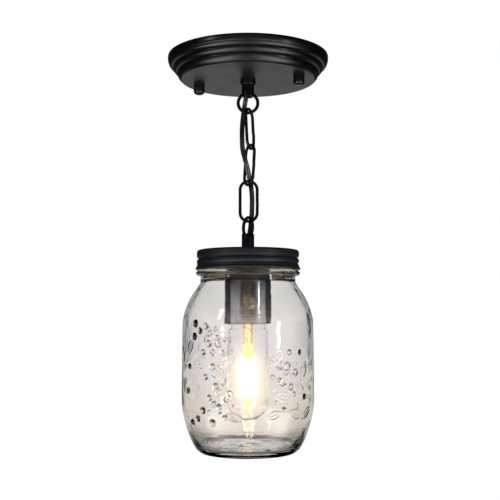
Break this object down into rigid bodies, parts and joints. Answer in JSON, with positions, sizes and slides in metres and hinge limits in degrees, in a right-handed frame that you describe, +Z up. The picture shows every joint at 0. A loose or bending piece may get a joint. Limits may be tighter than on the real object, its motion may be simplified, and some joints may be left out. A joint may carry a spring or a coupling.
{
  "type": "jar pendant lamp",
  "caption": "Ceiling pendant with a ribbed round canopy, a short link chain with a cord through it, and a screw-lidded glass jar round a socket and tubular filament bulb.",
  "frame": {"origin": "middle of the ceiling strap's top face, on the ceiling, between its two screw slots", "axes": "+Z up into the ceiling, +X along the ceiling strap and to the right for someone who faces the lamp, +Y away from them"},
  "size_m": [0.1202, 0.1202, 0.3104],
  "materials": {
    "zinc_steel": "satin zinc plate",
    "black_coat": "satin black powder coat",
    "black_lid": "satin black enamel",
    "gunmetal": "glossy gunmetal",
    "ground_green": "green passivated",
    "cord_black": "satin",
    "cord_white": "satin",
    "copper": "bare strands",
    "seal_rubber": "matte",
    "jar_glass": "clear pressed glass",
    "bulb_clear": "clear blown glass",
    "porcelain": "glazed porcelain",
    "brass": "plain",
    "solder": "plain",
    "vitrite": "black glass",
    "filament_glow": "lit"
  },
  "bodies": {
    "ceiling": {"ceiling_strap": "zinc_steel", "swivel_eyelet": "zinc_steel"},
    "canopy_body": {"stud_strap": "zinc_steel", "canopy_studs": "zinc_steel", "stud_nuts": "zinc_steel", "ground_screw": "ground_green", "canopy": "black_coat", "cap_nut_left": "black_coat", "cap_nut_right": "black_coat", "upper_loop": "black_coat", "loop_washer": "zinc_steel", "loop_nut": "zinc_steel", "collar_ring": "black_coat", "lead_live": "cord_black", "lead_neutral": "cord_white", "lead_tips": "copper", "cord": "cord_black"},
    "link_a": {"chain_link_a": "black_coat"},
    "link_b": {"chain_link_b": "black_coat"},
    "link_c": {"chain_link_c": "black_coat"},
    "lamp": {"lower_loop": "black_coat", "lid_band": "black_lid", "lid_disc": "black_lid", "socket_shell": "gunmetal", "socket_nut": "zinc_steel", "socket_core": "porcelain", "screw_shell": "brass", "centre_contact": "brass", "terminal_screws": "brass", "socket_lead_live": "cord_black", "socket_lead_neutral": "cord_white"},
    "jar_carrier": {"jar_seal": "seal_rubber"},
    "jar_body": {"jar": "jar_glass"},
    "bulb_carrier": {"bulb_tip": "solder"},
    "bulb_body": {"bulb_insulator": "vitrite", "bulb_base": "brass", "bulb_glass": "bulb_clear", "bulb_stem": "bulb_clear", "upper_carrier": "solder", "lower_carrier": "solder", "filament_a": "filament_glow", "filament_b": "filament_glow", "filament_c": "filament_glow", "filament_d": "filament_glow"}
  },
  "joints": [
    {"name": "canopy_swivel", "type": "hinge", "parent": "ceiling", "child": "canopy_body", "pos_m": [0, 0, 0], "axis": [0, 0, 1], "range_deg": [-45, 45]},
    {"name": "link_a_swing", "type": "hinge", "parent": "canopy_body", "child": "link_a", "pos_m": [0, 0, -0.04195], "axis": [1, 0, 0], "range_deg": [-30, 30], "deforming": ["cord"]},
    {"name": "link_b_swing", "type": "hinge", "parent": "link_a", "child": "link_b", "pos_m": [0.00207, 0, -0.06911], "axis": [0.3907, 0.9205, 0], "range_deg": [-30, 30], "deforming": ["cord"]},
    {"name": "link_c_swing", "type": "hinge", "parent": "link_b", "child": "link_c", "pos_m": [0.00023, 0, -0.0964], "axis": [0.5, -0.866, 0], "range_deg": [-30, 30], "deforming": ["cord"]},
    {"name": "lamp_swing", "type": "hinge", "parent": "link_c", "child": "lamp", "pos_m": [0.0005, 0, -0.12375], "axis": [1, 0, 0], "range_deg": [-30, 30], "deforming": ["cord"]},
    {"name": "jar_drop", "type": "slide", "parent": "lamp", "child": "jar_carrier", "axis": [0, 0, -1], "range_m": [0, 0.0077]},
    {"name": "jar_turn", "type": "hinge", "parent": "jar_carrier", "child": "jar_body", "pos_m": [0, 0, -0.16], "axis": [0, 0, -1], "range_deg": [0, 540]},
    {"name": "bulb_drop", "type": "slide", "parent": "lamp", "child": "bulb_carrier", "axis": [0, 0, -1], "range_m": [0, 0.0128]},
    {"name": "bulb_turn", "type": "hinge", "parent": "bulb_carrier", "child": "bulb_body", "pos_m": [0, 0, -0.17], "axis": [0, 0, -1], "range_deg": [0, 1260]}
  ],
  "couplings": [
    {"joint": "jar_drop", "follows": "jar_turn", "m_per_rad": 0.00080851},
    {"joint": "bulb_drop", "follows": "bulb_turn", "m_per_rad": 0.00057773}
  ]
}
